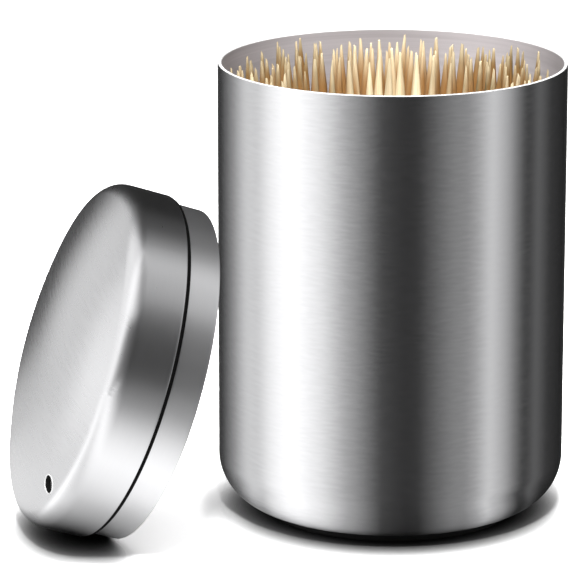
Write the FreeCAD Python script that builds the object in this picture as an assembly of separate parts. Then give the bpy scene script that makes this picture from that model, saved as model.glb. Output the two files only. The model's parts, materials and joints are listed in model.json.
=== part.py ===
"""Toothpick dispenser: a round steel cup of toothpicks with its lid taken off and standing beside it.

All lengths are in millimetres and all angles in degrees.  +Z is up, the origin is the middle of the
foot's underside, and the user stands at -Y.  The lid stands at -X, a little towards the user.
"""
import FreeCAD
import Part
import math
import os

from FreeCAD import Placement, Rotation, Vector

# Cup
cup_diameter = 52.0
rim_height = 68.8
cup_sheet = 0.6
cup_corner_radius = 7.6
rim_edge_radius = 0.2

# Pad under the cup
pad_diameter = 38.0
pad_thickness = 1.2
pad_edge_radius = 0.3

# Lid, in its own frame: its axis is +Z there, and the cap's lower edge lies at zero
cap_height = 12.7
cap_sheet = 0.8
dome_radius = 76.0
shoulder_radius = 3.0
cap_edge_radius = 0.15
sleeve_fit_clearance = 0.28
sleeve_sheet = 0.6
sleeve_drop = 5.4
sleeve_grip = 4.5
sleeve_edge_radius = 0.2
seal_thickness = 0.5
seal_inset = 0.2

# Dispensing hole in the lid's dome
hole_diameter = 2.6
hole_chamfer = 0.2
hole_centre_radius = 22.3
hole_azimuth = 221.5

# How the lid stands beside the cup
lid_gap = 3.1
lid_bearing = 17.4
lid_turn = 14.0
lid_tilt = 18.3

# Toothpicks
pick_length = 66.0
pick_length_spread = 0.7
pick_diameter = 2.0
pick_point_length = 9.0
pick_tip_diameter = 0.4
pick_seat_gap = 0.05

# Layout of the toothpicks: a spiral that fills the cup evenly, drawn together towards the feet
spiral_step = 1.5
tip_wall_clearance = 0.5
tip_wander = 0.25
foot_wander = 0.05
foot_spread_share = 0.86
tip_centre_depth = 6.0
foot_centre_depth = 5.0
hollow_radius = 16.0
hollow_depth = 10.0
outer_layer_depth = 4.5
outer_group_count = 10
inner_group_count = 8
loose_pick_count = 4

# Cutting tools run this far past the faces that they cut
overrun = 2.0

cup_radius = cup_diameter / 2
cup_bore_radius = cup_radius - cup_sheet
cup_floor = pad_thickness + cup_sheet
sleeve_radius = cup_bore_radius - sleeve_fit_clearance
sleeve_bore_radius = sleeve_radius - sleeve_sheet
tip_reach = sleeve_bore_radius - tip_wall_clearance - tip_wander
pick_radius = pick_diameter / 2
pick_tip_radius = pick_tip_diameter / 2

# Evenly scattered numbers come from multiples of this angle and this share
golden_angle = 137.508
golden_share = 0.618034

UP = Vector(0, 0, 1)
NORTH = Vector(0, 1, 0)


def on_profile(radius, height):
    """A point of a profile that is turned about the Z axis."""
    return Vector(radius, 0, height)


def arc(centre, radius, start, end):
    """An arc in the profile's plane, with its angles measured from the outward direction upwards."""
    def at(angle):
        turn = math.radians(angle)
        return centre + Vector(radius * math.cos(turn), 0, radius * math.sin(turn))
    return Part.Arc(at(start), at((start + end) / 2), at(end)).toShape()


def line(start, end):
    return Part.LineSegment(start, end).toShape()


def turned(edges):
    """The solid that a closed profile sweeps about the Z axis."""
    face = Part.Face(Part.Wire(edges))
    return face.revolve(Vector(0, 0, 0), UP, 360)


def rounded_ring(inner, outer, bottom, top, edge):
    """A ring with a rectangular section and its lower two corners rounded."""
    return turned([
        arc(on_profile(outer - edge, bottom + edge), edge, -90, 0),
        line(on_profile(outer, bottom + edge), on_profile(outer, top)),
        line(on_profile(outer, top), on_profile(inner, top)),
        line(on_profile(inner, top), on_profile(inner, bottom + edge)),
        arc(on_profile(inner + edge, bottom + edge), edge, 180, 270),
        line(on_profile(inner + edge, bottom), on_profile(outer - edge, bottom)),
    ])


def cup_shell():
    """The deep-drawn cup: a thin straight wall, a well rounded bottom edge and a rounded lip."""
    base = pad_thickness
    corner = cup_corner_radius
    lip = rim_height - rim_edge_radius
    middle = cup_radius - corner
    inner_corner = corner - cup_sheet
    return turned([
        line(on_profile(0, base), on_profile(middle, base)),
        arc(on_profile(middle, base + corner), corner, -90, 0),
        line(on_profile(cup_radius, base + corner), on_profile(cup_radius, lip)),
        arc(on_profile(cup_radius - rim_edge_radius, lip), rim_edge_radius, 0, 90),
        line(on_profile(cup_radius - rim_edge_radius, rim_height),
             on_profile(cup_bore_radius + rim_edge_radius, rim_height)),
        arc(on_profile(cup_bore_radius + rim_edge_radius, lip), rim_edge_radius, 90, 180),
        line(on_profile(cup_bore_radius, lip), on_profile(cup_bore_radius, base + corner)),
        arc(on_profile(middle, base + corner), inner_corner, 0, -90),
        line(on_profile(middle, cup_floor), on_profile(0, cup_floor)),
        line(on_profile(0, cup_floor), on_profile(0, base)),
    ])


def base_pad():
    """The black non-slip disc that the cup stands on."""
    radius = pad_diameter / 2
    edge = pad_edge_radius
    return turned([
        line(on_profile(0, 0), on_profile(radius - edge, 0)),
        arc(on_profile(radius - edge, edge), edge, -90, 0),
        line(on_profile(radius, edge), on_profile(radius, pad_thickness)),
        line(on_profile(radius, pad_thickness), on_profile(0, pad_thickness)),
        line(on_profile(0, pad_thickness), on_profile(0, 0)),
    ])


def domed_plug(wall, dome, shoulder, top, edge):
    """A solid with a round wall, a shoulder tangent to it and a shallow dome, standing on its edge."""
    dome_centre = top - dome
    wall_top = dome_centre + math.sqrt((dome - shoulder) ** 2 - (wall - shoulder) ** 2)
    slope = math.degrees(math.atan2(wall_top - dome_centre, wall - shoulder))
    edges = [
        line(on_profile(0, 0), on_profile(wall - edge, 0)),
        line(on_profile(wall, edge), on_profile(wall, wall_top)),
        arc(on_profile(wall - shoulder, wall_top), shoulder, 0, slope),
        arc(on_profile(0, dome_centre), dome, slope, 90),
        line(on_profile(0, top), on_profile(0, 0)),
    ]
    if edge > 0:
        edges.insert(1, arc(on_profile(wall - edge, edge), edge, -90, 0))
    return turned(edges)


def lid_cap():
    """The lid's outer cap: a hollow dome with the dispensing hole near its edge."""
    outside = domed_plug(cup_radius, dome_radius, shoulder_radius, cap_height, cap_edge_radius)
    inside = domed_plug(sleeve_radius, dome_radius - cap_sheet, shoulder_radius - cap_sheet,
                        cap_height - cap_sheet, 0)
    return outside.cut(inside).cut(hole_tool())


def hole_tool():
    """The drill and countersink for the dispensing hole, square to the dome."""
    radius = hole_diameter / 2
    drill = Part.makeCylinder(radius, cap_sheet + 2 * overrun, Vector(0, 0, -cap_sheet - overrun))
    sink = Part.makeCone(radius, radius + 2 * hole_chamfer, 2 * hole_chamfer,
                         Vector(0, 0, -hole_chamfer))
    tool = drill.fuse(sink)
    lean = math.degrees(math.asin(hole_centre_radius / dome_radius))
    tool.Placement = Placement(Vector(0, 0, cap_height - dome_radius), Rotation(UP, hole_azimuth)) \
        * Placement(Vector(0, 0, 0), Rotation(NORTH, lean)) \
        * Placement(Vector(0, 0, dome_radius), Rotation())
    return tool


def lid_sleeve():
    """The short steel sleeve that is pressed into the cap and plugs the cup's mouth."""
    return rounded_ring(sleeve_bore_radius, sleeve_radius, -sleeve_drop, sleeve_grip,
                        sleeve_edge_radius)


def lid_seal():
    """The black ring round the sleeve, under the cap's edge."""
    outer = cup_radius - seal_inset
    disc = Part.makeCylinder(outer, seal_thickness, Vector(0, 0, -seal_thickness))
    bore = Part.makeCylinder(sleeve_radius, seal_thickness + 2 * overrun,
                             Vector(0, 0, -seal_thickness - overrun))
    return disc.cut(bore)


def lid_placement():
    """Stands the lid on its sleeve's edge beside the cup, leaning back towards it."""
    tilt = math.radians(lid_tilt)
    bearing = math.radians(lid_bearing)
    reach = sleeve_drop * math.cos(tilt) + sleeve_radius * math.sin(tilt)
    distance = cup_radius + lid_gap + reach
    height = sleeve_radius * math.cos(tilt) + sleeve_drop * math.sin(tilt)
    place = Vector(-distance * math.cos(bearing), -distance * math.sin(bearing), height)
    lean = Placement(Vector(0, 0, 0), Rotation(NORTH, lid_tilt - 90))
    return Placement(place, Rotation(UP, lid_turn)) * lean


def scatter(index, reach):
    """A sideways step of up to the given reach, different for each index."""
    angle = math.radians(golden_angle * index)
    step = reach * math.sqrt((golden_share * index) % 1)
    return Vector(step * math.cos(angle), step * math.sin(angle), 0)


def outside_hollow(tip):
    """Whether a tip lies outside the round hollow that the taken toothpicks left at the front."""
    return (tip - Vector(0, -hollow_depth, 0)).Length > hollow_radius


def pick_places():
    """The tip's radius and bearing, the tip and the foot of every toothpick, as seen from above."""
    places = []
    tip_centre = Vector(0, tip_centre_depth, 0)
    foot_centre = Vector(0, foot_centre_depth, 0)
    for number in range(int((tip_reach / spiral_step) ** 2)):
        radius = spiral_step * math.sqrt(number + 1)
        bearing = golden_angle * number % 360
        tip = Rotation(UP, bearing).multVec(Vector(radius, 0, 0))
        if outside_hollow(tip):
            foot = foot_centre + (tip - tip_centre) * foot_spread_share
            places.append((radius, bearing, tip + scatter(number, tip_wander),
                           foot + scatter(number + 1, foot_wander)))
    return places


def seat_height(foot):
    """The height at which a toothpick's foot stands, on the cup's floor or on its rounded corner."""
    corner = cup_corner_radius - cup_sheet
    beyond = max(0, foot.Length + pick_tip_radius - (cup_bore_radius - corner))
    return cup_floor + corner - math.sqrt(corner ** 2 - beyond ** 2) + pick_seat_gap


def toothpick(tip, foot, length):
    """One toothpick, pointed at both ends, from its foot in the cup towards its tip."""
    half = length / 2
    body = half - pick_point_length
    outline = [on_profile(0, -half), on_profile(pick_tip_radius, -half),
               on_profile(pick_radius, -body), on_profile(pick_radius, body),
               on_profile(pick_tip_radius, half), on_profile(0, half)]
    edges = [line(a, b) for a, b in zip(outline, outline[1:] + outline[:1])]
    solid = turned(edges)
    side = tip - foot
    rise = math.sqrt(length ** 2 - side.Length ** 2)
    direction = Vector(side.x, side.y, rise).normalize()
    start = Vector(foot.x, foot.y, seat_height(foot))
    solid.Placement = Placement(start + direction * half, Rotation(UP, direction))
    return solid


def grouped(layer, picks, group_count):
    """Nodes of one layer: its picks by their bearing from the front, in groups of like size."""
    nodes = {}
    for place, (_, solid) in enumerate(sorted(picks, key=lambda pick: pick[0])):
        name = "toothpicks_%s_%02d" % (layer, 1 + place * group_count // len(picks))
        nodes.setdefault(name, []).append(solid)
    return nodes


def toothpicks():
    """Every toothpick by the name of its node: a few loose ones, and the rest in groups."""
    places = pick_places()
    rear_edge = Vector(0, hollow_radius - hollow_depth, 0)
    nearest = sorted(range(len(places)), key=lambda index: (places[index][2] - rear_edge).Length)
    loose = nearest[:loose_pick_count]
    nodes = {}
    outer, inner = [], []
    for index, (radius, bearing, tip, foot) in enumerate(places):
        length = pick_length + pick_length_spread * math.sin(math.radians(golden_angle * index))
        solid = toothpick(tip, foot, length)
        if index in loose:
            nodes["toothpick_loose_%d" % (loose.index(index) + 1)] = [solid]
        else:
            layer = outer if radius > tip_reach - outer_layer_depth else inner
            layer.append(((bearing + 90) % 360, solid))
    nodes.update(grouped("outer", outer, outer_group_count))
    nodes.update(grouped("inner", inner, inner_group_count))
    return nodes


def placed(solid, placement):
    moved = solid.copy()
    moved.Placement = placement.multiply(moved.Placement)
    return moved


def build():
    os.makedirs("parts", exist_ok=True)
    stand = lid_placement()
    pieces = {
        "cup_shell": cup_shell(),
        "base_pad": base_pad(),
        "lid_cap": placed(lid_cap(), stand),
        "lid_sleeve": placed(lid_sleeve(), stand),
        "lid_seal": placed(lid_seal(), stand),
    }
    for name, picks in toothpicks().items():
        pieces[name] = picks[0] if len(picks) == 1 else Part.makeCompound(picks)
    for name, shape in pieces.items():
        shape.exportStep("parts/%s.step" % name)
        print("%-24s solids %2d  volume %9.2f" % (name, len(shape.Solids), shape.Volume))


build()
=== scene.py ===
"""The dressed toothpick dispenser: a brushed steel cup of toothpicks with its lid beside it.

The file is laid out as an add-on and is run as a script.  Every object is in metres, in the frame of
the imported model: +Z is up, the origin is the middle of the foot, and the viewer stands at -Y.
"""
import json
import math
import random

import bmesh
import bpy
import numpy as np
from bpy.props import FloatProperty, FloatVectorProperty, IntProperty, PointerProperty
from bpy.types import Operator, Panel, PropertyGroup
from mathutils import Matrix, Vector


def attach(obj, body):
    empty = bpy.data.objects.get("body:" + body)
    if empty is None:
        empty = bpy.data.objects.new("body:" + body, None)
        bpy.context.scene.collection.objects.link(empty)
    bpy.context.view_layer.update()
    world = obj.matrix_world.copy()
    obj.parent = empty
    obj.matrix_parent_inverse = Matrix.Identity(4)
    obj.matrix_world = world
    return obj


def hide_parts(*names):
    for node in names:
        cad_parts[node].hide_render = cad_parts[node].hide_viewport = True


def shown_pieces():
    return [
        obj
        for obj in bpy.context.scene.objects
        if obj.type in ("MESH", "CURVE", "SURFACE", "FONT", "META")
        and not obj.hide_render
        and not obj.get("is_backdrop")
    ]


bl_info = {
    "name": "Toothpick Dispenser",
    "version": (1, 0, 0),
    "blender": (4, 5, 0),
    "location": "3D View > Sidebar > Dispenser",
    "description": "Dresses the packed toothpick dispenser and sets up its studio",
    "category": "Object",
}

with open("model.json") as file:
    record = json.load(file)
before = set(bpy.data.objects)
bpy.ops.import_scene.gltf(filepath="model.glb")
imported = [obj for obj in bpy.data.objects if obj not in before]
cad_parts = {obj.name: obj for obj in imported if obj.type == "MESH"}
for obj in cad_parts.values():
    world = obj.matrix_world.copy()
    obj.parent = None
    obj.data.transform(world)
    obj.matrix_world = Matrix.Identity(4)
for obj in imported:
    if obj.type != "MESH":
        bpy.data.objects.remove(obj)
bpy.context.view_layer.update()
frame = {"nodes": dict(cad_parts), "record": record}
NODES = frame["nodes"]
MOUNTS = {mount["name"]: mount for mount in frame["record"]["mounts"]}
MM = 0.001


# Places and sizes that come from the frame

def node_points(name):
    """The corners of a CAD node's mesh, one row each."""
    mesh = NODES[name].data
    points = np.empty(3 * len(mesh.vertices))
    mesh.vertices.foreach_get("co", points)
    return points.reshape(-1, 3)


def lid_matrix():
    """The lid's own frame: +Z out of its dome, +X up its face, and zero at the cap's lower edge."""
    ring = node_points("lid_seal")
    _, _, axes = np.linalg.svd(ring - ring.mean(axis=0), full_matrices=False)
    out = Vector(axes[2])
    if out.dot(Vector(node_points("lid_cap").mean(axis=0) - ring.mean(axis=0))) < 0:
        out = -out
    face_up = (Vector((0, 0, 1)) - out * out.z).normalized()
    turned = Matrix((face_up, out.cross(face_up), out)).transposed()
    local = ring @ np.array(turned)
    low, high = local.min(axis=0), local.max(axis=0)
    centre = turned @ Vector(((low[0] + high[0]) / 2, (low[1] + high[1]) / 2, high[2]))
    return Matrix.Translation(centre) @ turned.to_4x4()


LID = lid_matrix()


def reach(name, matrix=Matrix.Identity(4)):
    """A turned node's greatest radius and its lowest and highest point, along the matrix's Z axis."""
    inverse = np.array(matrix.inverted())
    local = node_points(name) @ inverse[:3, :3].T + inverse[:3, 3]
    return float(np.hypot(local[:, 0], local[:, 1]).max()), local[:, 2].min(), local[:, 2].max()


CUP_RADIUS, CUP_BASE, RIM_HEIGHT = reach("cup_shell")
PAD_RADIUS, _, PAD_TOP = reach("base_pad")
CAP_RADIUS, _, CAP_TOP = reach("lid_cap", LID)
SLEEVE_RADIUS, SLEEVE_FOOT, SLEEVE_TOP = reach("lid_sleeve", LID)
SEAL_RADIUS, SEAL_FOOT, _ = reach("lid_seal", LID)


def length(name, default, description):
    return FloatProperty(name=name, default=default, description=description,
                         unit="LENGTH", subtype="DISTANCE", precision=5, min=0)


def colour(name, default, description):
    return FloatVectorProperty(name=name, default=default, description=description,
                               subtype="COLOR", size=3, min=0, max=1)


def share(name, default, description):
    return FloatProperty(name=name, default=default, description=description,
                         subtype="FACTOR", min=0, max=1)


class CupSettings(PropertyGroup):
    radius: length("Radius", CUP_RADIUS, "Outside radius of the cup's wall")
    rim_height: length("Rim height", RIM_HEIGHT, "Height of the rim over the table")
    base_height: length("Base height", CUP_BASE, "Height of the underside over the table")
    sheet: length("Sheet", 0.6 * MM, "Thickness of the steel")
    corner: length("Bottom corner", 7.6 * MM, "Outside radius of the bottom edge")
    lip: length("Lip", 0.25 * MM, "Radius of the lip's edges")
    steel: colour("Steel", (0.63, 0.63, 0.64), "Colour of the brushed outside")
    inside: colour("Inside", (0.50, 0.465, 0.475), "Colour of the satin inside")
    # Painted highlight: the rim's near-white colour stands in for its glint
    rim: colour("Rim", (0.97, 0.97, 0.97), "Colour of the polished rim")


class LidSettings(PropertyGroup):
    sheet: length("Cap sheet", 0.8 * MM, "Thickness of the cap")
    sleeve_sheet: length("Sleeve sheet", 0.6 * MM, "Thickness of the sleeve")
    dome: length("Dome", 76 * MM, "Radius of the dome")
    shoulder: length("Shoulder", 3.0 * MM, "Radius of the shoulder")
    hole: length("Hole", MOUNTS["dispensing_hole"]["dims"]["r_mm"] * MM, "Radius of the hole")
    # Painted highlight: a pale ring round the hole stands in for the glint on its edge
    highlight_ring: length("Eyelet", 0.24 * MM, "Width of the polished ring round the hole")
    steel: colour("Steel", (0.63, 0.63, 0.64), "Colour of the brushed steel")
    # Painted light: the sleeve and the dome are lighter copies of the lid's steel, so that they render
    # brighter
    sleeve_steel: colour("Sleeve steel", (0.68, 0.68, 0.69), "Colour of the brushed sleeve")
    dome_steel_painted_lighter: colour("Dome steel", (0.76, 0.76, 0.77), "Colour of the brushed dome")
    bead: length("Seal bead", 0.15 * MM, "How far the seal reaches past its solid, down the sleeve")
    seal: colour("Seal", (0.003, 0.003, 0.003), "Colour of the seal")


class ToothpickSettings(PropertyGroup):
    sides: IntProperty(name="Sides", default=12, min=6, max=32, description="Faces round a toothpick")
    rings: IntProperty(name="Rings", default=22, min=8, max=64, description="Rings along a toothpick")
    point: length("Point", 9 * MM, "Length of the point at each end")
    pale: colour("Pale", (0.87, 0.73, 0.48), "Colour of a pale toothpick")
    # Also the painted shade of the toothpicks at the sides and the back
    tan: colour("Tan", (0.14, 0.105, 0.045), "Colour of a dark toothpick")
    # Also the colour of the painted shade between crowded toothpicks
    fibre_and_gap_shade: colour("Fibre", (0.27, 0.125, 0.032), "Colour of the dark fibres")


class StudioSettings(PropertyGroup):
    place: FloatVectorProperty(name="Camera", default=(-0.0208, -0.6, 0.1883), subtype="TRANSLATION",
                               unit="LENGTH", description="Place of the camera")
    pitch: FloatProperty(name="Pitch", default=0.2517, subtype="ANGLE",
                         description="Angle at which the camera looks down")
    yaw: FloatProperty(name="Yaw", default=0.0088, subtype="ANGLE",
                       description="Angle at which the camera looks to the right")
    lens: FloatProperty(name="Lens", default=257.56, unit="CAMERA",
                        description="Focal length on a 36 mm sensor")
    tent: length("Tent", 0.5, "Radius of the light tent round the object")
    # Reach of the painted contact shadow on the table
    painted_shadow_reach: length("Contact", 6.5 * MM, "Reach of the deepest shadow round a foot")


# Meshes

def run(start, end, steps=6):
    """Points of a straight stretch of a profile, closer together at its ends."""
    shares = [(1 - math.cos(math.pi * k / steps)) / 2 for k in range(steps + 1)]
    return [(start[0] + (end[0] - start[0]) * s, start[1] + (end[1] - start[1]) * s) for s in shares]


def bend(centre, radius, start, end, steps=10):
    """Points of an arc of a profile, with angles in degrees from the outward direction upwards."""
    angles = [math.radians(start + (end - start) * k / steps) for k in range(steps + 1)]
    return [(centre[0] + radius * math.cos(a), centre[1] + radius * math.sin(a)) for a in angles]


def joined(stretches):
    """One profile from its stretches, each given with the number of its finish."""
    points, finishes = [], []
    for finish, stretch in stretches:
        for point in stretch:
            if points and math.dist(point, points[-1]) < 1e-7:
                continue
            points.append(point)
            finishes.append(finish)
    if math.dist(points[0], points[-1]) < 1e-7:
        points.pop()
        finishes.pop()
    return points, finishes


def turned(name, stretches, materials, segments=192, open_axis=False):
    """A piece turned about Z from a profile that runs anticlockwise round its section."""
    points, finishes = joined(stretches)
    mesh = bpy.data.meshes.new(name)
    shape = bmesh.new()
    rings = []
    for radius, height in points:
        if radius < 1e-7:
            rings.append([shape.verts.new((0, 0, height))] * segments)
        else:
            rings.append([shape.verts.new((radius * math.cos(a), radius * math.sin(a), height))
                          for a in (2 * math.pi * k / segments for k in range(segments))])
    count = len(rings)
    for i in range(count if not open_axis else count - 1):
        low, high = rings[i], rings[(i + 1) % count]
        finish = finishes[(i + 1) % count]
        for k in range(segments):
            n = (k + 1) % segments
            corners = []
            for vert in (low[k], low[n], high[n], high[k]):
                if vert not in corners:
                    corners.append(vert)
            if len(corners) > 2:
                shape.faces.new(corners).material_index = finish
    shape.normal_update()
    shape.to_mesh(mesh)
    shape.free()
    for material in materials:
        mesh.materials.append(material)
    piece = bpy.data.objects.new(name, mesh)
    bpy.context.scene.collection.objects.link(piece)
    return piece


def smoothed(piece, angle=32):
    """Shades a piece smooth, with its sharp edges kept and its large faces left true."""
    piece.data.shade_smooth()
    piece.data.set_sharp_from_angle(angle=math.radians(angle))
    weighted = piece.modifiers.new("even_shading", "WEIGHTED_NORMAL")
    weighted.keep_sharp = True
    return piece


def keep(mesh, name, kind, values):
    """Writes one value for each of the mesh's points."""
    layer = mesh.attributes.new(name, kind, "POINT")
    layer.data.foreach_set("value" if kind == "FLOAT" else "vector", np.ravel(values).astype("f"))


def settle(piece, matrix=Matrix.Identity(4), dome=None):
    """Moves a piece's mesh to its place, and keeps on it its own coordinates, the way of its brush
    lines and how much of it is dome, from the heights at which the dome starts and is full."""
    mesh = piece.data
    own = np.empty(3 * len(mesh.vertices))
    mesh.vertices.foreach_get("co", own)
    own = own.reshape(-1, 3)
    share = np.clip((own[:, 2] - dome[0]) / (dome[1] - dome[0]), 0, 1) if dome else np.zeros(len(own))
    way = np.stack([-own[:, 1], own[:, 0], np.zeros(len(own))], axis=1)
    way /= np.maximum(np.linalg.norm(way, axis=1, keepdims=True), 1e-9)
    way[way[:, 1] < 0] *= -1
    way += (np.array((0, 1, 0)) - way) * share[:, None]
    way /= np.maximum(np.linalg.norm(way, axis=1, keepdims=True), 1e-9)
    keep(mesh, "own", "FLOAT_VECTOR", own)
    keep(mesh, "way", "FLOAT_VECTOR", way @ np.array(matrix.to_3x3()).T)
    keep(mesh, "face", "FLOAT", share)
    mesh.transform(matrix)
    return piece


def cut(piece, tool):
    """Cuts the tool out of the piece for good, and takes the tool away."""
    boolean = piece.modifiers.new("cut", "BOOLEAN")
    boolean.operation = "DIFFERENCE"
    boolean.solver = "EXACT"
    boolean.material_mode = "TRANSFER"
    boolean.object = tool
    bpy.context.view_layer.update()
    mesh = bpy.data.meshes.new_from_object(piece.evaluated_get(bpy.context.evaluated_depsgraph_get()))
    piece.modifiers.remove(boolean)
    piece.data = mesh
    bpy.data.objects.remove(tool)
    return piece


# Materials

class Nodes:
    """A short way to lay out a material's nodes."""

    def __init__(self, name):
        self.material = bpy.data.materials.new(name)
        self.material.use_nodes = True
        self.tree = self.material.node_tree
        self.shader = self.tree.nodes["Principled BSDF"]

    def add(self, kind, settings=None, **inputs):
        node = self.tree.nodes.new(kind)
        for key, value in (settings or {}).items():
            setattr(node, key, value)
        for key, value in inputs.items():
            self.link(node.inputs[key.replace("_", " ")], value)
        return node

    def link(self, socket, value):
        if isinstance(value, bpy.types.NodeSocket):
            self.tree.links.new(value, socket)
        else:
            socket.default_value = value

    def math(self, operation, *values, clamp=False):
        node = self.add("ShaderNodeMath", {"operation": operation, "use_clamp": clamp})
        for socket, value in zip(node.inputs, values):
            self.link(socket, value)
        return node.outputs[0]

    def noise(self, vector, scale, detail=3.0, roughness=0.55):
        """Noise of the vector stretched by the scale, one number for each of its axes."""
        placed = self.add("ShaderNodeMapping", Vector=vector, Scale=scale)
        node = self.add("ShaderNodeTexNoise", Vector=placed.outputs[0], Scale=1.0, Detail=detail,
                        Roughness=roughness)
        return node.outputs["Fac"]

    def between(self, value, low, high, bottom=0.0, top=1.0):
        node = self.add("ShaderNodeMapRange", {"clamp": True})
        for key, number in (("Value", value), ("From Min", low), ("From Max", high),
                            ("To Min", bottom), ("To Max", top)):
            self.link(node.inputs[key], number)
        return node.outputs[0]

    def mix(self, factor, first, second, blend="MIX"):
        node = self.add("ShaderNodeMix", {"data_type": "RGBA", "blend_type": blend})
        self.link(node.inputs[0], factor)
        self.link(node.inputs[6], first)
        self.link(node.inputs[7], second)
        return node.outputs[2]

    def ramp(self, value, stops):
        node = self.add("ShaderNodeValToRGB", Fac=value)
        node.color_ramp.interpolation = "LINEAR"
        elements = node.color_ramp.elements
        while len(elements) < len(stops):
            elements.new(0.5)
        for element, (position, shade) in zip(elements, stops):
            element.position = position
            element.color = (*shade, 1)
        return node.outputs["Color"]

    def set(self, **inputs):
        for key, value in inputs.items():
            self.link(self.shader.inputs[key.replace("_", " ")], value)
        return self.material


def rgba(shade):
    return (*shade, 1.0)


def brushed_steel(name, shade, dome_painted_lighter=None, roughness=0.24, anisotropy=0.9, metallic=1.0,
                  edge=1.0, depth=0.28, tint=0.02, relief=1.0):
    """Steel brushed round its axis, and straight across where it is dome.  Where it is dome its colour
    goes over to a lighter copy of the steel: painted light.
    """
    n = Nodes(name)
    own = n.add("ShaderNodeAttribute", {"attribute_name": "own"}).outputs["Vector"]
    drift = n.noise(own, (240, 240, 240), 1.0)
    push = n.add("ShaderNodeCombineXYZ", Z=n.math("MULTIPLY", drift, 0.5 * MM)).outputs[0]
    moved = n.add("ShaderNodeVectorMath", {"operation": "ADD"})
    n.link(moved.inputs[0], own)
    n.link(moved.inputs[1], push)
    lines = n.between(n.noise(moved.outputs[0], (420, 420, 2600), 1.0, 0.6), 0.0, 1.0,
                      0.5 - depth / 2, 0.5 + depth / 2)
    colour = rgba(shade)
    if dome_painted_lighter:
        face = n.add("ShaderNodeAttribute", {"attribute_name": "face"}).outputs["Fac"]
        slanted = n.add("ShaderNodeMapping", Vector=own, Rotation=(0, 0, math.radians(13.5)))
        straight = n.noise(slanted.outputs[0], (2200, 230, 230), 1.0, 0.6)
        lines = n.between(face, 0.0, 1.0, lines, straight)
        # Painted light: the dome takes the lighter copy of the steel's colour
        colour = n.mix(face, rgba(shade), rgba(dome_painted_lighter))
    level = n.between(lines, 0.3, 0.7, 1 - tint, 1 + tint)
    body = n.add("ShaderNodeVectorMath", {"operation": "SCALE"})
    n.link(body.inputs[0], colour[:3] if isinstance(colour, tuple) else colour)
    n.link(body.inputs["Scale"], level)
    bump = n.add("ShaderNodeBump", Strength=relief, Distance=0.02 * MM, Height=lines)
    turn = n.add("ShaderNodeVectorTransform",
                 {"vector_type": "VECTOR", "convert_from": "OBJECT", "convert_to": "WORLD"},
                 Vector=n.add("ShaderNodeAttribute", {"attribute_name": "way"}).outputs["Vector"])
    return n.set(Base_Color=body.outputs[0], Metallic=metallic, Anisotropic=anisotropy,
                 Specular_Tint=(edge, edge, edge, 1), Anisotropic_Rotation=0.25,
                 Tangent=turn.outputs[0], Normal=bump.outputs[0],
                 Roughness=n.between(lines, 0.3, 0.7, roughness - 0.02, roughness + 0.03))


def painted_highlight_steel(name, shade, roughness=0.20):
    """A painted highlight on a bright edge: a pale colour with little metal in it, pale from every side.
    """
    n = Nodes(name)
    place = n.add("ShaderNodeTexCoord").outputs["Object"]
    haze = n.noise(place, (900, 900, 900), 2.0)
    return n.set(Base_Color=rgba(shade), Metallic=0.2,
                 Roughness=n.between(haze, 0.3, 0.7, roughness - 0.03, roughness + 0.05))


def satin_steel(name, shade, roughness=0.42):
    """Drawn steel on an inside, with faint turned lines."""
    n = Nodes(name)
    own = n.add("ShaderNodeAttribute", {"attribute_name": "own"}).outputs["Vector"]
    fine = n.noise(own, (18, 18, 1700), 4.0, 0.6)
    body = n.add("ShaderNodeVectorMath", {"operation": "SCALE"})
    body.inputs[0].default_value = shade
    n.link(body.inputs["Scale"], n.between(fine, 0.32, 0.68, 0.90, 1.09))
    bump = n.add("ShaderNodeBump", Strength=0.2, Distance=0.02 * MM, Height=fine)
    return n.set(Base_Color=body.outputs[0], Metallic=0.35, Normal=bump.outputs[0],
                 Roughness=n.between(fine, 0.3, 0.7, roughness - 0.04, roughness + 0.06))


def black_rubber(name, shade):
    n = Nodes(name)
    place = n.add("ShaderNodeTexCoord").outputs["Object"]
    grain = n.noise(place, (2500, 2500, 2500), 3.0)
    bump = n.add("ShaderNodeBump", Strength=0.3, Distance=0.03 * MM, Height=grain)
    return n.set(Base_Color=rgba(shade), Normal=bump.outputs[0], Specular_IOR_Level=0.06,
                 Roughness=n.between(grain, 0.3, 0.7, 0.55, 0.75))


def hole_painted_shade():
    """The cut edge of the dispensing hole, dull and painted near black as the shade in the hole."""
    n = Nodes("Hole Painted Shade")
    own = n.add("ShaderNodeTexCoord").outputs["Object"]
    rough = n.noise(own, (4000, 4000, 4000), 2.0)
    return n.set(Base_Color=(0.01, 0.01, 0.01, 1), Specular_IOR_Level=0.1,
                 Roughness=n.between(rough, 0.3, 0.7, 0.6, 0.8))


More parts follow.
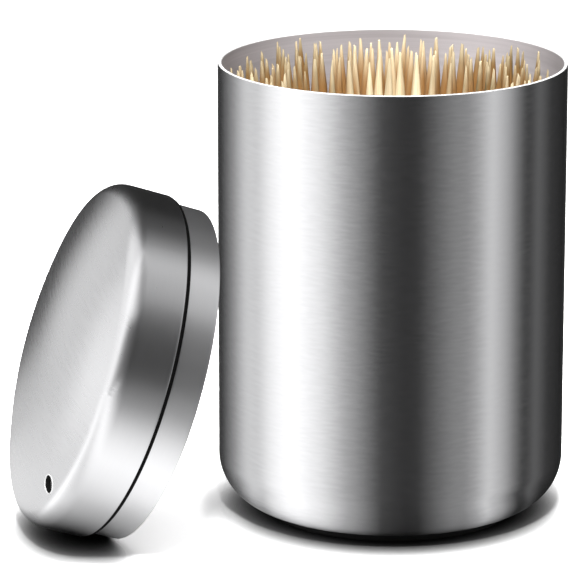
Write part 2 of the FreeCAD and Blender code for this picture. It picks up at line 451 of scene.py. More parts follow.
def bamboo(name, settings):
    """Plain bamboo: pale wood with fibres along the toothpick, a tone that differs at random, and paler
    near its ends.  It holds painted shade too: darker where a toothpick faces a close neighbour, and for
    those at the sides and the back.
    """
    n = Nodes(name)
    grain = n.add("ShaderNodeUVMap", {"uv_map": "grain"}).outputs[0]
    tone_and_side_shade = n.add("ShaderNodeAttribute", {"attribute_name": "tone_and_side_shade"}).outputs["Fac"]
    tip = n.add("ShaderNodeAttribute", {"attribute_name": "tip"}).outputs["Fac"]
    fibres = n.noise(grain, (5200, 70, 1), 4.0, 0.65)
    streaks = n.noise(grain, (1700, 35, 1), 2.0)
    patches = n.noise(grain, (260, 120, 1), 2.0)
    # The tone mixes pale to tan: at random, and as painted shade at the sides and the back
    wood = n.mix(n.math("ADD", tone_and_side_shade, n.between(patches, 0.35, 0.75, -0.12, 0.22), clamp=True),
                 rgba(settings.pale), rgba(settings.tan))
    wood = n.mix(n.between(fibres, 0.50, 0.75, 0.0, 0.5), wood, rgba(settings.fibre_and_gap_shade))
    wood = n.mix(n.between(streaks, 0.56, 0.74, 0.0, 0.40), wood, rgba(settings.fibre_and_gap_shade))
    wood = n.mix(n.math("MULTIPLY", tip, 0.6), wood, rgba(settings.pale))
    # Painted shade: darker towards the fibre colour where a toothpick faces a close neighbour
    deep = n.add("ShaderNodeAttribute", {"attribute_name": "deep"}).outputs["Fac"]
    wood = n.mix(n.math("MULTIPLY", deep, 0.95), wood, rgba(settings.fibre_and_gap_shade))
    height = n.math("ADD", fibres, n.math("MULTIPLY", streaks, 0.8))
    bump = n.add("ShaderNodeBump", Strength=0.45, Distance=0.05 * MM, Height=height)
    return n.set(Base_Color=wood, Roughness=0.62, Specular_IOR_Level=0.35, Normal=bump.outputs[0])


# The cup and its pad

class DISPENSER_OT_cup(Operator):
    """Turns the steel cup with a painted highlight on its rim and satin inside"""
    bl_idname = "dispenser.cup"
    bl_label = "Steel Cup"

    def execute(self, context):
        s = context.scene.dispenser_cup
        outside, rim, inside = 0, 1, 2
        wall, bore = s.radius, s.radius - s.sheet
        flat = s.radius - s.corner
        knee = s.base_height + s.corner
        lip = s.rim_height - s.lip
        floor = s.base_height + s.sheet
        cup = turned("steel_cup", [
            (outside, run((0, s.base_height), (flat, s.base_height))),
            (outside, bend((flat, knee), s.corner, -90, 0, 24)),
            (outside, run((wall, knee), (wall, lip), 10)),
            (outside, bend((wall - s.lip, lip), s.lip, 0, 40, 2)),
            (rim, bend((wall - s.lip, lip), s.lip, 40, 90, 4)),
            (rim, bend((bore + s.lip, lip), s.lip, 90, 180, 6)),
            (inside, run((bore, lip), (bore, knee), 10)),
            (inside, bend((flat, knee), s.corner - s.sheet, 0, -90, 16)),
            (inside, run((flat, floor), (0, floor))),
        ], [
            brushed_steel("Cup Brushed Steel", s.steel, edge=0.25, depth=1.0, tint=0.024,
                          relief=0.10),
            # Painted highlight on the rim
            painted_highlight_steel("Rim Painted Highlight", s.rim),
            satin_steel("Cup Satin Steel", s.inside),
        ], open_axis=True)
        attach(smoothed(settle(cup)), "cup")
        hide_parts("cup_shell")
        return {"FINISHED"}


class DISPENSER_OT_pad(Operator):
    """Turns the black non-slip pad under the cup"""
    bl_idname = "dispenser.pad"
    bl_label = "Pad"

    def execute(self, context):
        edge = 0.3 * MM
        pad = turned("non_slip_pad", [
            (0, run((0, 0), (PAD_RADIUS - edge, 0))),
            (0, bend((PAD_RADIUS - edge, edge), edge, -90, 0, 5)),
            (0, run((PAD_RADIUS, edge), (PAD_RADIUS, PAD_TOP))),
            (0, run((PAD_RADIUS, PAD_TOP), (0, PAD_TOP))),
        ], [black_rubber("Pad Rubber", (0.012, 0.012, 0.012))], segments=128, open_axis=True)
        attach(smoothed(pad), "cup")
        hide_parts("base_pad")
        return {"FINISHED"}


# The lid

def dome_profile(wall, dome, shoulder, top):
    """The wall's top, the shoulder's centre and its slope for a dome with a tangent shoulder."""
    centre = top - dome
    height = centre + math.sqrt((dome - shoulder) ** 2 - (wall - shoulder) ** 2)
    slope = math.degrees(math.atan2(height - centre, wall - shoulder))
    return centre, height, slope


class DISPENSER_OT_cap(Operator):
    """Turns the lid's domed cap and cuts its dispensing hole"""
    bl_idname = "dispenser.cap"
    bl_label = "Lid Cap"

    def execute(self, context):
        s = context.scene.dispenser_lid
        outer_face, inner_face = 0, 1
        edge = 0.15 * MM
        centre, height, slope = dome_profile(CAP_RADIUS, s.dome, s.shoulder, CAP_TOP)
        inner_shoulder = s.shoulder - s.sheet
        inner_centre, inner_height, inner_slope = dome_profile(
            SLEEVE_RADIUS, s.dome - s.sheet, inner_shoulder, CAP_TOP - s.sheet)
        cap = turned("lid_dome", [
            (inner_face, run((SLEEVE_RADIUS, 0), (CAP_RADIUS - edge, 0), 2)),
            (outer_face, bend((CAP_RADIUS - edge, edge), edge, -90, 0, 4)),
            (outer_face, run((CAP_RADIUS, edge), (CAP_RADIUS, height), 8)),
            (outer_face, bend((CAP_RADIUS - s.shoulder, height), s.shoulder, 0, slope, 16)),
            (outer_face, bend((0, centre), s.dome, slope, 90, 28)),
            (inner_face, bend((0, inner_centre), s.dome - s.sheet, 90, inner_slope, 20)),
            (inner_face, bend((SLEEVE_RADIUS - inner_shoulder, inner_height), inner_shoulder,
                              inner_slope, 0, 8)),
            (inner_face, run((SLEEVE_RADIUS, inner_height), (SLEEVE_RADIUS, 0), 6)),
        ], [
            brushed_steel("Cap Brushed Steel", s.steel, s.dome_steel_painted_lighter, roughness=0.28,
                          anisotropy=0.8),
            satin_steel("Cap Satin Steel", (0.42, 0.41, 0.41)),
        ])
        hole = MOUNTS["dispensing_hole"]
        into_lid = LID.inverted()
        spot = into_lid @ Vector(hole["pos_m"])
        lean = (into_lid.to_3x3() @ Vector(hole["axis"])).to_track_quat("Z", "Y").to_matrix().to_4x4()
        deep = 3 * MM
        # The drill's cut faces take the painted shade of the hole
        drill = turned("drill", [
            (0, run((0, -deep), (s.hole, -deep), 1)),
            (0, run((s.hole, -deep), (s.hole, deep), 1)),
            (0, run((s.hole, deep), (0, deep), 1)),
        ], [hole_painted_shade()], segments=48, open_axis=True)
        drill.matrix_world = Matrix.Translation(spot) @ lean
        all_dome = CAP_TOP - 2.6 * MM
        cap = smoothed(settle(cut(cap, drill), LID, (height, all_dome)))
        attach(cap, "lid")
        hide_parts("lid_cap")
        depth = s.dome - (spot - Vector((0, 0, centre))).length
        # Painted highlight: a pale ring round the hole
        width = s.highlight_ring
        highlight_ring = turned("hole_highlight_ring", [
            (0, bend((s.hole + width / 2, depth), width / 2, 0, 360, 10)),
        ], [painted_highlight_steel("Hole Ring Painted Highlight", (0.93, 0.93, 0.93))], segments=48)
        settle(highlight_ring, LID @ Matrix.Translation(spot) @ lean)
        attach(smoothed(highlight_ring, 80), "lid")
        return {"FINISHED"}


class DISPENSER_OT_sleeve(Operator):
    """Turns the steel sleeve that plugs the cup's mouth"""
    bl_idname = "dispenser.sleeve"
    bl_label = "Lid Sleeve"

    def execute(self, context):
        s = context.scene.dispenser_lid
        edge = 0.2 * MM
        bore = SLEEVE_RADIUS - s.sleeve_sheet
        sleeve = turned("lid_sleeve_ring", [
            (1, run((bore + edge, SLEEVE_FOOT), (SLEEVE_RADIUS - edge, SLEEVE_FOOT), 1)),
            (0, bend((SLEEVE_RADIUS - edge, SLEEVE_FOOT + edge), edge, -90, 0, 5)),
            (0, run((SLEEVE_RADIUS, SLEEVE_FOOT + edge), (SLEEVE_RADIUS, SLEEVE_TOP), 8)),
            (2, run((SLEEVE_RADIUS, SLEEVE_TOP), (bore, SLEEVE_TOP), 1)),
            (2, run((bore, SLEEVE_TOP), (bore, SLEEVE_FOOT + edge), 8)),
            (1, bend((bore + edge, SLEEVE_FOOT + edge), edge, 180, 270, 5)),
        ], [
            # Painted light: the sleeve's steel is a lighter copy of the cap's
            brushed_steel("Sleeve Brushed Steel", s.sleeve_steel, roughness=0.28, anisotropy=0.8,
                          metallic=0.93, relief=0.3),
            # Painted highlight on the sleeve's lower edges
            painted_highlight_steel("Sleeve Edge Painted Highlight", (0.7, 0.7, 0.7)),
            satin_steel("Sleeve Satin Steel", (0.42, 0.41, 0.41)),
        ])
        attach(smoothed(settle(sleeve, LID)), "lid")
        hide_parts("lid_sleeve")
        return {"FINISHED"}


class DISPENSER_OT_seal(Operator):
    """Turns the black seal between the cap and the sleeve"""
    bl_idname = "dispenser.seal"
    bl_label = "Lid Seal"

    def execute(self, context):
        s = context.scene.dispenser_lid
        foot = SEAL_FOOT - s.bead
        half = -foot / 2
        seal = turned("lid_seal_ring", [
            (0, run((SLEEVE_RADIUS, foot), (SEAL_RADIUS - half, foot), 2)),
            (0, bend((SEAL_RADIUS - half, -half), half, -90, 90, 8)),
            (0, run((SEAL_RADIUS - half, 0), (SLEEVE_RADIUS, 0), 2)),
            (0, run((SLEEVE_RADIUS, 0), (SLEEVE_RADIUS, foot), 2)),
        ], [black_rubber("Seal Rubber", s.seal)])
        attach(smoothed(settle(seal, LID)), "lid")
        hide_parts("lid_seal")
        return {"FINISHED"}


# The toothpicks

def islands(mesh):
    """The separate solids of a mesh, as lists of their points."""
    parent = list(range(len(mesh.vertices)))

    def root(i):
        while parent[i] != i:
            parent[i] = parent[parent[i]]
            i = parent[i]
        return i

    places = {}
    for vert in mesh.vertices:
        key = tuple(round(c, 6) for c in vert.co)
        parent[vert.index] = places.setdefault(key, vert.index)
    for edge in mesh.edges:
        a, b = root(edge.vertices[0]), root(edge.vertices[1])
        parent[a] = b
    groups = {}
    for vert in mesh.vertices:
        groups.setdefault(root(vert.index), []).append(vert.co)
    return [np.array(points) for points in groups.values()]


def pick_axis(points):
    """A toothpick's foot, direction, length and radius from the points of its solid."""
    points = np.unique(points.round(7), axis=0)
    middle = (points.max(axis=0) + points.min(axis=0)) / 2
    _, _, axes = np.linalg.svd(points - middle, full_matrices=False)
    along = axes[0] * np.sign(axes[0][2])
    spans = (points - middle) @ along
    sides = points - middle - np.outer(spans, along)
    centre = middle + (sides.max(axis=0) + sides.min(axis=0)) / 2
    low, high = spans.min(), spans.max()
    off = points - centre - np.outer((points - centre) @ along, along)
    radius = np.linalg.norm(off, axis=1).max()
    return Vector(middle + along * low), Vector(along), high - low, radius


# A point of a toothpick looks for a neighbour this far off its skin, and the closer it finds one, the
# darker its painted shade.  Past the first distance from the neighbour's middle it finds none, and within
# the second it is against it.  Within the third of its ends a neighbour is too slim to count in full.
PROBE, APART, AGAINST, SLIM_END = 0.7 * MM, 3.0 * MM, 1.5 * MM, 5 * MM
PALE_TIP = 1.8 * MM


def painted_gap_shade(mesh, points_each, first, axes):
    """For each point of a mesh of toothpicks, how closely it faces another one, from 0 to 1, to be painted
    as shade between them.
    """
    count = len(mesh.vertices)
    points, normals = np.empty(3 * count), np.empty(3 * count)
    mesh.vertices.foreach_get("co", points)
    mesh.vertex_normals.foreach_get("vector", normals)
    probes = (points + PROBE * normals).reshape(-1, 3)
    pick = first + np.arange(count) // points_each
    free = np.ones(count)
    for number, (foot, along, span, _) in enumerate(axes):
        off = probes - np.array(foot)
        stop = np.clip(off @ np.array(along), 0, span)
        gap = np.linalg.norm(off - np.outer(stop, along), axis=1)
        slim = np.clip(np.minimum(stop, span - stop) / SLIM_END, 0, 1)
        near = np.clip((APART - gap) / (APART - AGAINST), 0, 1) * slim
        near[pick == number] = 0
        free *= 1 - near
    return 1 - free


def whittled(shape, layers, axis, settings, draw):
    """Adds one toothpick: a round stick with two uneven points, a bowed line and a grain of its own."""
    foot, along, span, thick = axis
    across = along.orthogonal().normalized()
    beside = along.cross(across)
    sides, rings = settings.sides, settings.rings
    tip_radius = draw.uniform(0.08, 0.20) * MM
    foot_radius = draw.uniform(0.12, 0.22) * MM
    sweep = Vector((draw.gauss(0, 0.10), draw.gauss(0, 0.10))) * MM
    bow = Vector((draw.gauss(0, 0.10), draw.gauss(0, 0.10))) * MM
    lumps = [(draw.uniform(0, 2 * math.pi), draw.uniform(0.01, 0.05)) for _ in range(3)]
    slant = draw.uniform(0.05, 0.3) * MM
    lean = draw.uniform(0, 2 * math.pi)
    belly = thick * draw.uniform(0.90, 0.97)
    shift = draw.random()
    point = foot + along * span
    # Painted shade: those at the sides and the back are darker; the rest of the tone differs at random
    aside = min(1.0, max(0.0, abs(point.x) / CUP_RADIUS - 0.18) / 0.35)
    behind = min(1.0, max(0.0, point.y / CUP_RADIUS + 0.6) / 0.6)
    tone_and_side_shade = min(1.0, max(0.0, draw.gauss(0.05 + 0.90 * aside * behind, 0.12)))
    half = rings // 2
    places = [settings.point * (k / (half - 1)) ** 1.25 for k in range(half)]
    stops = places + [span - p for p in reversed(places)]
    circles, spots = [], []
    for number, stop in enumerate(stops):
        end = min(stop, span - stop)
        narrow = tip_radius if stop > span / 2 else foot_radius
        grow = min(1.0, end / settings.point)
        radius = narrow + (belly - narrow) * (0.86 * grow + 0.14 * math.sin(math.pi * grow / 2))
        radius *= 1 + draw.gauss(0, 0.018)
        share_up = stop / span
        off = sweep * max(0.0, 1 - (span - stop) / settings.point) ** 2 \
            + bow * math.sin(math.pi * share_up)
        middle = foot + along * stop + across * off.x + beside * off.y
        circle = []
        for k in range(sides):
            a = 2 * math.pi * k / sides
            r = radius * (1 + sum(size * math.cos((i + 2) * a + phase)
                                  for i, (phase, size) in enumerate(lumps)))
            rough = slant * (math.cos(a - lean) - 1) * (1 - grow) if stop > span / 2 else 0
            circle.append(shape.verts.new(middle + across * (r * math.cos(a))
                                          + beside * (r * math.sin(a)) + along * rough))
        circles.append(circle)
        spots.append(stop)
    grain, tone_and_side_shade_layer, tip_layer = layers

    def face(verts, us, vs, tip):
        made = shape.faces.new(verts)
        made.smooth = True
        for loop, u, v in zip(made.loops, us, vs):
            loop[grain].uv = (u + shift * 0.7, v + shift)
        for vert in verts:
            vert[tone_and_side_shade_layer] = tone_and_side_shade
            vert[tip_layer] = max(vert[tip_layer], tip)

    girth = 2 * math.pi * thick / sides
    for i in range(len(circles) - 1):
        low, high = circles[i], circles[i + 1]
        near_tip = min(spots[i], span - spots[i + 1])
        tip = max(0.0, 1 - near_tip / PALE_TIP) * draw.uniform(0.5, 1.0) if near_tip >= 0 else 0
        for k in range(sides):
            n = (k + 1) % sides
            face((low[k], low[n], high[n], high[k]),
                 (k * girth, (k + 1) * girth, (k + 1) * girth, k * girth),
                 (spots[i], spots[i], spots[i + 1], spots[i + 1]), 0)
        for k in range(sides):
            low[k][tip_layer] = max(low[k][tip_layer], tip)
    top = circles[-1]
    face(tuple(top), [k * girth for k in range(sides)], [span] * sides, 0.9)
    face(tuple(reversed(circles[0])), [k * girth for k in range(sides)], [0] * sides, 0.9)


class DISPENSER_OT_toothpicks(Operator):
    """Whittles every toothpick in place of its plain solid"""
    bl_idname = "dispenser.toothpicks"
    bl_label = "Toothpicks"

    def execute(self, context):
        s = context.scene.dispenser_toothpicks
        wood = bamboo("Bamboo", s)
        draw = random.Random(11)
        names = [name for name in sorted(NODES) if name.startswith("toothpick")]
        axes = {}
        for name in names:
            solids = sorted(islands(NODES[name].data), key=lambda points: tuple(points.mean(axis=0)))
            axes[name] = [pick_axis(points) for points in solids]
        crowd = [axis for name in names if "loose" not in name for axis in axes[name]]
        placed = 0
        for name in names:
            shape = bmesh.new()
            layers = (shape.loops.layers.uv.new("grain"), shape.verts.layers.float.new("tone_and_side_shade"),
                      shape.verts.layers.float.new("tip"))
            for axis in axes[name]:
                whittled(shape, layers, axis, s, draw)
            mesh = bpy.data.meshes.new("bamboo_" + name)
            shape.normal_update()
            shape.to_mesh(mesh)
            shape.free()
            if "loose" not in name:
                # The painted shade between crowded toothpicks, kept on the mesh as deep
                keep(mesh, "deep", "FLOAT", painted_gap_shade(mesh, s.sides * 2 * (s.rings // 2), placed, crowd))
                placed += len(axes[name])
            mesh.materials.append(wood)
            mesh.set_sharp_from_angle(angle=math.radians(60))
            piece = bpy.data.objects.new("bamboo_" + name, mesh)
            context.scene.collection.objects.link(piece)
            body = name.replace("toothpick_loose", "loose_pick") if "loose" in name else "cup"
            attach(piece, body)
            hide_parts(name)
        return {"FINISHED"}


# The studio

# Heights at which the tents' walls change panels, and the panels: degrees from the front towards
# the right, and brightness.  Most of these levels weren't set by hand.  A scratch program worked them
# out from the photograph's brightness, sampled at points on the cup and the lid, and few were changed
# after it.  They are sampled data in a table made by a program, which the scripts aren't meant to
# hold, so they are no example to follow.
TENT_LOW, TENT_HIGH, TENT_ROOF = 0.1, 0.5, 0.9
CUP_PANELS = (
    (-180, 0.6), (-171, 0.5), (-165, 0.1), (-157, 0.2), (-131, 0.55), (-114, 1.06), (-101, 0.96),
    (-89, 1.43), (-78, 1.68), (-68, 1.7), (-50, 1.25), (-33, 0.6), (-17, 0.225), (-9, 0.075),
    (0, 0.048), (8, 0.033), (16, 0.041), (24, 0.12), (40, 0.31), (49, 0.35), (58, 0.57), (67, 0.97),
    (74, 0.76), (80, 0.6), (87, 0.31), (96, 0.068), (102, 0.07), (110, 0.2), (126, 0.07), (163, 0.09),
    (171, 0.5), (180, 0.6),
)
LID_SKIRT = (
    (-180, 0.05), (-148, 0.075), (-141, 0.2), (-136, 0.47), (-128, 0.64), (-121, 0.65), (-116, 0.82),
    (-108, 0.85), (-102, 0.9), (-93, 0.92), (-78, 1.08), (-72, 2), (-66, 1.35), (-62, 1.15), (-54, 1),
    (-49, 1.2), (-45, 1.41), (-37, 1.62), (-29, 1.43), (-21, 1.14), (-14, 0.85), (-6, 0.56), (2, 0.35),
    (12, 0.29), (24, 0.23), (39, 0.3), (60, 0.6), (76, 0.5), (86, 0.17), (98, 0.13), (115, 0.06),
    (180, 0.05),
)
LID_LOW = (
    (-180, 0.02), (-158, 0.03), (-152, 0.09), (-146, 0.33), (-140, 0.63), (-133, 0.81), (-124, 0.73),
    (-120, 0.77), (-116, 1.02), (-111, 1.23), (-98, 1.23), (-72, 1.56), (-54, 1.27), (-38, 1.5),
    (-15, 0.8), (0, 0.11), (30, 0.02), (42, 0.08), (54, 0.2), (64, 0.6), (78, 0.6), (90, 0.25),
    (102, 0.1), (130, 0.05), (180, 0.02),
)
LID_HIGH = (
    (-180, 0.02), (-161, 0.02), (-152, 0.07), (-146, 0.37), (-140, 0.74), (-133, 0.8), (-124, 0.69),
    (-120, 0.77), (-116, 0.98), (-110, 1.06), (-75, 1.18), (-58, 1.5), (-45, 0.53), (-28, 0.16),
    (-10, 0.12), (10, 0.035), (38, 0.01), (50, 0.1), (62, 0.36), (80, 0.98), (100, 0.8), (125, 0.17),
    (150, 0.09), (162, 0.02), (180, 0.02),
)
LID_TOP = (
    (-180, 0.03), (-158, 0.12), (-140, 0.41), (-118, 1.22), (-90, 1.08), (-61, 1.65), (-34, 1.36),
    (0, 0.6), (23, 0.2), (55, 0.42), (90, 0.82), (142, 0.095), (170, 0.035), (180, 0.03),
)


def ring_of_light(n, panels, mirror):
    """The brightness round the object, read off the panels by bearing.  Round a mirror of that radius
    the panels are curved, so that they look straight in it from its foot to its rim."""
    spot = n.add("ShaderNodeSeparateXYZ", Vector=n.add("ShaderNodeTexCoord").outputs["Object"])
    angle = n.math("ARCTAN2", spot.outputs[0], n.math("MULTIPLY", spot.outputs[1], -1.0))
    if mirror:
        away = n.math("SQRT", n.math("ADD", n.math("MULTIPLY", spot.outputs[0], spot.outputs[0]),
                                     n.math("MULTIPLY", spot.outputs[1], spot.outputs[1])))
        near = n.math("DIVIDE", mirror, n.math("MAXIMUM", away, 1.3 * mirror))
        bearing, angle = angle, n.math("MULTIPLY", angle, n.math("ADD", near, 1.0))
        for _ in range(2):
            lean = n.math("MULTIPLY", near, n.math("SINE", n.math("MULTIPLY", angle, 0.5)))
            angle = n.math("ADD", bearing, n.math("ARCSINE", lean))
    brightest = max(level for _, level in panels)
    stops = [((degrees + 180) / 360, (level / brightest,) * 3) for degrees, level in panels]
    glow = n.ramp(n.between(angle, -math.pi, math.pi), stops)
    return glow, brightest


def painted_shadow_fade(n, centre, dark, clear):
    """A painted shadow: nothing within the dark distance of a point on the table, and everything past the
    clear one.
    """
    away = n.add("ShaderNodeVectorMath", {"operation": "DISTANCE"})
    n.link(away.inputs[0], n.add("ShaderNodeTexCoord").outputs["Object"])
    away.inputs[1].default_value = centre
    fade = n.add("ShaderNodeMapRange", {"interpolation_type": "SMOOTHSTEP"})
    for key, value in (("Value", away.outputs["Value"]), ("From Min", dark), ("From Max", clear)):
        n.link(fade.inputs[key], value)
    return fade.outputs[0]


def tent_material(name, panels, mirror, shadow=None):
    """A glowing, clear sheet whose brightness follows the panels, darkened by a painted shadow round a
    point on the table.
    """
    n = Nodes(name)
    n.tree.nodes.remove(n.shader)
    n.material.cycles.emission_sampling = "NONE"
    glow, strength = ring_of_light(n, panels, mirror)
    # Painted shadow in the sheet's glow
    if shadow:
        strength = n.math("MULTIPLY", strength, painted_shadow_fade(n, *shadow))
    light = n.add("ShaderNodeEmission", Color=glow)
    n.link(light.inputs["Strength"], strength)
    both = n.add("ShaderNodeAddShader")
    n.link(both.inputs[0], light.outputs[0])
    n.link(both.inputs[1], n.add("ShaderNodeBsdfTransparent").outputs[0])
    n.tree.links.new(both.outputs[0], n.tree.nodes["Material Output"].inputs["Surface"])
    return n.material


def light_tent(name, radius, drop, panels, shadow, lit, mirror=0):
    """A tent of glowing sheets round the object that only the given pieces reflect."""
    receivers = bpy.data.collections.new(name + "_receivers")
    for piece in lit:
        receivers.objects.link(piece)
    skirt, low, high, top = panels
    for part, start, end, glow, dark in (
            ("skirt", (0, -drop), (radius, -drop), skirt, shadow),
            ("low", (radius, 0), (radius, TENT_LOW), low, None),
            ("high", (radius, TENT_LOW), (radius, TENT_HIGH), high, None),
            ("top", (radius, TENT_HIGH), (radius, TENT_ROOF), top, None),
            ("roof", (0, TENT_ROOF + drop), (radius, TENT_ROOF + drop), top, None)):
        sheet = turned(name + "_" + part, [(0, run(start, end, 2))],
                       [tent_material(name + "_" + part, glow, mirror, dark)], segments=96, open_axis=True)
        sheet.light_linking.receiver_collection = receivers
        glossy_only(sheet)


def unmirrored(*pieces):
    """Keeps pieces out of each other's reflections, as in the cut-out product picture."""
    for piece in pieces:
        piece.visible_glossy = False


def glossy_only(piece):
    """Lets only reflections see a piece of the studio."""
    piece.visible_camera = False
    piece.visible_diffuse = False
    piece.visible_transmission = False
    piece.visible_volume_scatter = False
    piece.visible_shadow = False
    piece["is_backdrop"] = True


def softbox(name, place, size, power):
    """A soft lamp that shines at the object."""
    lamp = bpy.data.lights.new(name, "AREA")
    lamp.shape = "RECTANGLE"
    lamp.size, lamp.size_y = size
    lamp.energy = power
    box = bpy.data.objects.new(name, lamp)
    box.location = place
    box.rotation_euler = (Vector((0, 0, 0.03)) - Vector(place)).to_track_quat("-Z", "Y").to_euler()
    box.visible_camera = False
    box.visible_glossy = False
    bpy.context.scene.collection.objects.link(box)
    return box


def mouth_spot(place, power, spread):
    """A soft spot on the cup's mouth, which leaves the table in front of the cup in shadow."""
    lamp = bpy.data.lights.new("mouth_spot", "SPOT")
    lamp.energy = power
    lamp.spot_size = spread
    lamp.spot_blend = 0.5
    lamp.shadow_soft_size = 0.08
    spot = bpy.data.objects.new("mouth_spot", lamp)
    spot.location = place
    aim = Vector((0, 0, RIM_HEIGHT)) - spot.location
    spot.rotation_euler = aim.to_track_quat("-Z", "Y").to_euler()
    spot.visible_camera = False
    spot.visible_glossy = False
    bpy.context.scene.collection.objects.link(spot)


def seen_directly(tree):
    """One for rays that show a thing to the camera, straight, in a mirror or through glass."""
    path = tree.nodes.new("ShaderNodeLightPath")
    rays = path.outputs["Is Camera Ray"]
    for kind in ("Is Glossy Ray", "Is Transmission Ray"):
        either = tree.nodes.new("ShaderNodeMath")
        either.operation = "MAXIMUM"
        tree.links.new(rays, either.inputs[0])
        tree.links.new(path.outputs[kind], either.inputs[1])
        rays = either.outputs[0]
    return rays


def white_floor(painted_shadow_reach):
    """The table: white for the camera, with the object's shadow kept, and a painted contact shadow from
    ambient occlusion, deepest where it stands.
    """
    n = Nodes("Table White")
    # Painted shadow: for the camera the table darkens with its ambient occlusion round each foot
    open_sky = n.add("ShaderNodeAmbientOcclusion", {"samples": 16}, Distance=painted_shadow_reach).outputs["AO"]
    lit = n.math("MULTIPLY", n.math("POWER", open_sky, 2.1), 2.4)
    seen = n.add("ShaderNodeCombineColor", Red=lit, Green=lit, Blue=lit).outputs[0]
    white = n.mix(seen_directly(n.tree), (0.80, 0.80, 0.80, 1), seen)
    n.tree.nodes.remove(n.shader)
    paper = n.add("ShaderNodeBsdfDiffuse", Color=white)
    n.tree.links.new(paper.outputs[0], n.tree.nodes["Material Output"].inputs["Surface"])
    return n.material


def white_world():
    """Soft light from above, and plain white behind the object.  The studio's black screen keeps the
    white out of the steel's reflections."""
    world = bpy.data.worlds.new("Studio")
    bpy.context.scene.world = world
    world.use_nodes = True
    tree = world.node_tree
    background = tree.nodes["Background"]
    background.inputs["Color"].default_value = (1, 1, 1, 1)
    upward = tree.nodes.new("ShaderNodeSeparateXYZ")
    tree.links.new(tree.nodes.new("ShaderNodeTexCoord").outputs["Generated"], upward.inputs[0])
    sky = tree.nodes.new("ShaderNodeMapRange")
    for key, value in (("From Min", 0.1), ("From Max", 0.8), ("To Min", 0.02), ("To Max", 1.15)):
        sky.inputs[key].default_value = value
    tree.links.new(upward.outputs["Z"], sky.inputs["Value"])
    level = tree.nodes.new("ShaderNodeMapRange")
    level.inputs["To Max"].default_value = 1.0
    tree.links.new(sky.outputs[0], level.inputs["To Min"])
    tree.links.new(seen_directly(tree), level.inputs["Value"])
    tree.links.new(level.outputs[0], background.inputs["Strength"])


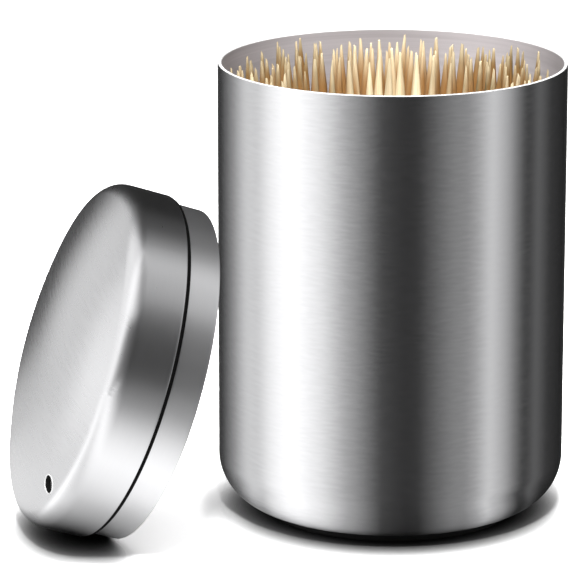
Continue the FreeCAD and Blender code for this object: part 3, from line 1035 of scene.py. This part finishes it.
class DISPENSER_OT_studio(Operator):
    """Sets the table, the light tents, the lamps and the camera"""
    bl_idname = "dispenser.studio"
    bl_label = "Studio"

    def execute(self, context):
        s = context.scene.dispenser_studio
        white_world()
        table = turned("table", [(0, run((0, 0), (4.0, 0), 2))], [white_floor(s.painted_shadow_reach)], segments=64,
                       open_axis=True)
        # The steel reflects only the tents: the table is hidden from it, and the screen hides the world
        table.visible_glossy = False
        table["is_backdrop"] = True
        screen = black_rubber("Screen Black", (0, 0, 0))
        screen.node_tree.nodes["Principled BSDF"].inputs["Specular IOR Level"].default_value = 0
        lid_foot = LID @ Vector((-CAP_RADIUS, 0, 0))
        lid_pieces = [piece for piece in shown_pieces() if piece.name.startswith(("lid_", "hole_"))]
        others = [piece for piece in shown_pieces() if piece not in lid_pieces]
        # Painted shadows on the tents' skirts, round the cup's foot and the lid's foot, stand in for
        # reflected contact shadows
        light_tent("cup_tent", s.tent, 0.1 * MM, (CUP_PANELS,) * 4,
                   ((0, 0, 0), 19 * MM, 22 * MM), others, CUP_RADIUS)
        light_tent("lid_tent", s.tent + MM, 0.2 * MM, (LID_SKIRT, LID_LOW, LID_HIGH, LID_TOP),
                   ((lid_foot.x, lid_foot.y, 0), 5 * MM, 24 * MM), lid_pieces)
        side, low, high = 0.51, -0.5 * MM, 0.91
        for name, start, end in (("screen_floor", (0, low), (side, low)),
                                 ("screen_wall", (side, low), (side, high)),
                                 ("screen_roof", (side, high), (0, high))):
            glossy_only(turned(name, [(0, run(start, end, 1))], [screen], segments=96,
                               open_axis=True))
        softbox("key_softbox", (-0.20, -0.38, 0.80), (0.35, 0.35), 1.2)
        softbox("top_softbox", (0.05, 0.05, 0.9), (0.4, 0.4), 0.6)
        mouth_spot((-0.03, -0.55, 0.74), 80, math.radians(9))
        camera = bpy.data.objects.new("camera", bpy.data.cameras.new("camera"))
        camera.data.sensor_width = 36
        camera.data.lens = s.lens
        camera.location = s.place
        camera.rotation_euler = (math.pi / 2 - s.pitch, 0, -s.yaw)
        context.scene.collection.objects.link(camera)
        context.scene.camera = camera
        context.scene.view_settings.view_transform = "Standard"
        return {"FINISHED"}


class DISPENSER_PT_panel(Panel):
    """Lists the dispenser's pieces and their sizes"""
    bl_idname = "DISPENSER_PT_panel"
    bl_label = "Toothpick Dispenser"
    bl_space_type = "VIEW_3D"
    bl_region_type = "UI"
    bl_category = "Dispenser"

    def draw(self, context):
        layout = self.layout
        for operator in PIECES:
            layout.operator(operator.bl_idname)
        for name, group in SETTINGS.items():
            box = layout.box()
            for key in group.__annotations__:
                box.prop(getattr(context.scene, name), key)


PIECES = (DISPENSER_OT_cup, DISPENSER_OT_pad, DISPENSER_OT_cap, DISPENSER_OT_sleeve,
          DISPENSER_OT_seal, DISPENSER_OT_toothpicks, DISPENSER_OT_studio)
SETTINGS = {
    "dispenser_cup": CupSettings,
    "dispenser_lid": LidSettings,
    "dispenser_toothpicks": ToothpickSettings,
    "dispenser_studio": StudioSettings,
}


def register():
    for group in SETTINGS.values():
        bpy.utils.register_class(group)
    for name, group in SETTINGS.items():
        setattr(bpy.types.Scene, name, PointerProperty(type=group))
    for operator in PIECES:
        bpy.utils.register_class(operator)
    bpy.utils.register_class(DISPENSER_PT_panel)


def unregister():
    bpy.utils.unregister_class(DISPENSER_PT_panel)
    for operator in reversed(PIECES):
        bpy.utils.unregister_class(operator)
    for name in SETTINGS:
        delattr(bpy.types.Scene, name)
    for group in reversed(SETTINGS.values()):
        bpy.utils.unregister_class(group)


def main():
    register()
    bpy.ops.dispenser.cup()
    bpy.ops.dispenser.pad()
    bpy.ops.dispenser.cap()
    bpy.ops.dispenser.sleeve()
    bpy.ops.dispenser.seal()
    bpy.ops.dispenser.toothpicks()
    unmirrored(*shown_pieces())
    bpy.ops.dispenser.studio()


if __name__ == "__main__":
    main()
